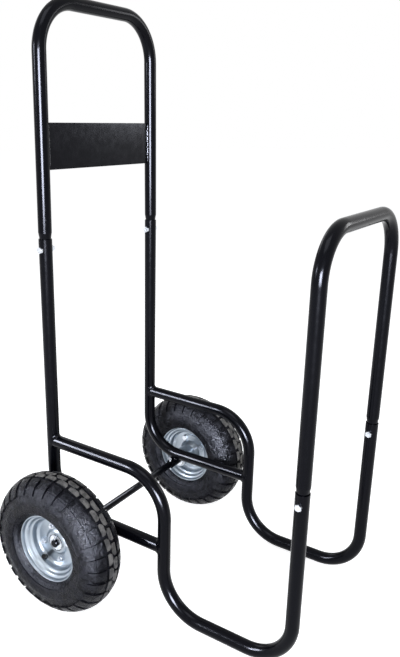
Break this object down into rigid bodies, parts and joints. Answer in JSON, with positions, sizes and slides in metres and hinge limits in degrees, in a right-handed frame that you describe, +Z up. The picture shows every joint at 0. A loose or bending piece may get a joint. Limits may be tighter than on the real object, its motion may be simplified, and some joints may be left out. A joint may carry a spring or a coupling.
{
  "type": "two-wheeled fireside log cart",
  "caption": "Free-standing log cart with bent-tube side frames, a front hoop, a tall push handle and pneumatic wheels.",
  "frame": {"origin": "on the floor below the middle of the cart's overall box, the wheels and the front bends of the base rails standing on the floor", "axes": "+Z up, +Y to the rear where the handle stands, +X across the cart along the axle"},
  "size_m": [0.5126, 0.5932, 1.0347],
  "materials": {
    "black_coat": "gloss powder coat",
    "zinc_plate": "bright zinc plate",
    "bearing_steel": "ground steel",
    "tyre_rubber": "matt, dusty",
    "tube_rubber": "matt",
    "cap_plastic": "satin"
  },
  "bodies": {
    "frame": {"left_side_rail": "black_coat", "right_side_rail": "black_coat", "left_upright": "black_coat", "right_upright": "black_coat", "left_axle_sleeve": "black_coat", "right_axle_sleeve": "black_coat", "handle_tube": "black_coat", "handle_panel": "black_coat", "front_hoop": "black_coat", "handle_bolts": "zinc_plate", "handle_nuts": "zinc_plate", "hoop_bolts": "zinc_plate", "hoop_nuts": "zinc_plate", "axle": "black_coat", "inner_washers": "zinc_plate", "outer_washers": "zinc_plate", "inner_split_pins": "zinc_plate", "outer_split_pins": "zinc_plate", "left_bearing_inner_rings": "bearing_steel", "right_bearing_inner_rings": "bearing_steel"},
    "left_wheel": {"left_tyre": "tyre_rubber", "left_inner_tube": "tube_rubber", "left_rim_outer": "zinc_plate", "left_rim_inner": "zinc_plate", "left_hub": "zinc_plate", "left_bearing_outer_rings": "bearing_steel", "left_bearing_balls": "bearing_steel", "left_bearing_shields": "tube_rubber", "left_rim_bolts": "zinc_plate", "left_rim_nuts": "zinc_plate", "left_valve_stem": "tube_rubber", "left_valve_cap": "cap_plastic"},
    "right_wheel": {"right_tyre": "tyre_rubber", "right_inner_tube": "tube_rubber", "right_rim_outer": "zinc_plate", "right_rim_inner": "zinc_plate", "right_hub": "zinc_plate", "right_bearing_outer_rings": "bearing_steel", "right_bearing_balls": "bearing_steel", "right_bearing_shields": "tube_rubber", "right_rim_bolts": "zinc_plate", "right_rim_nuts": "zinc_plate", "right_valve_stem": "tube_rubber", "right_valve_cap": "cap_plastic"}
  },
  "joints": [
    {"name": "left_wheel_spin", "type": "hinge", "parent": "frame", "child": "left_wheel", "pos_m": [-0.214, 0.16843, 0.1282], "axis": [1, 0, 0], "continuous": true},
    {"name": "right_wheel_spin", "type": "hinge", "parent": "frame", "child": "right_wheel", "pos_m": [0.214, 0.16843, 0.1282], "axis": [1, 0, 0], "continuous": true}
  ]
}
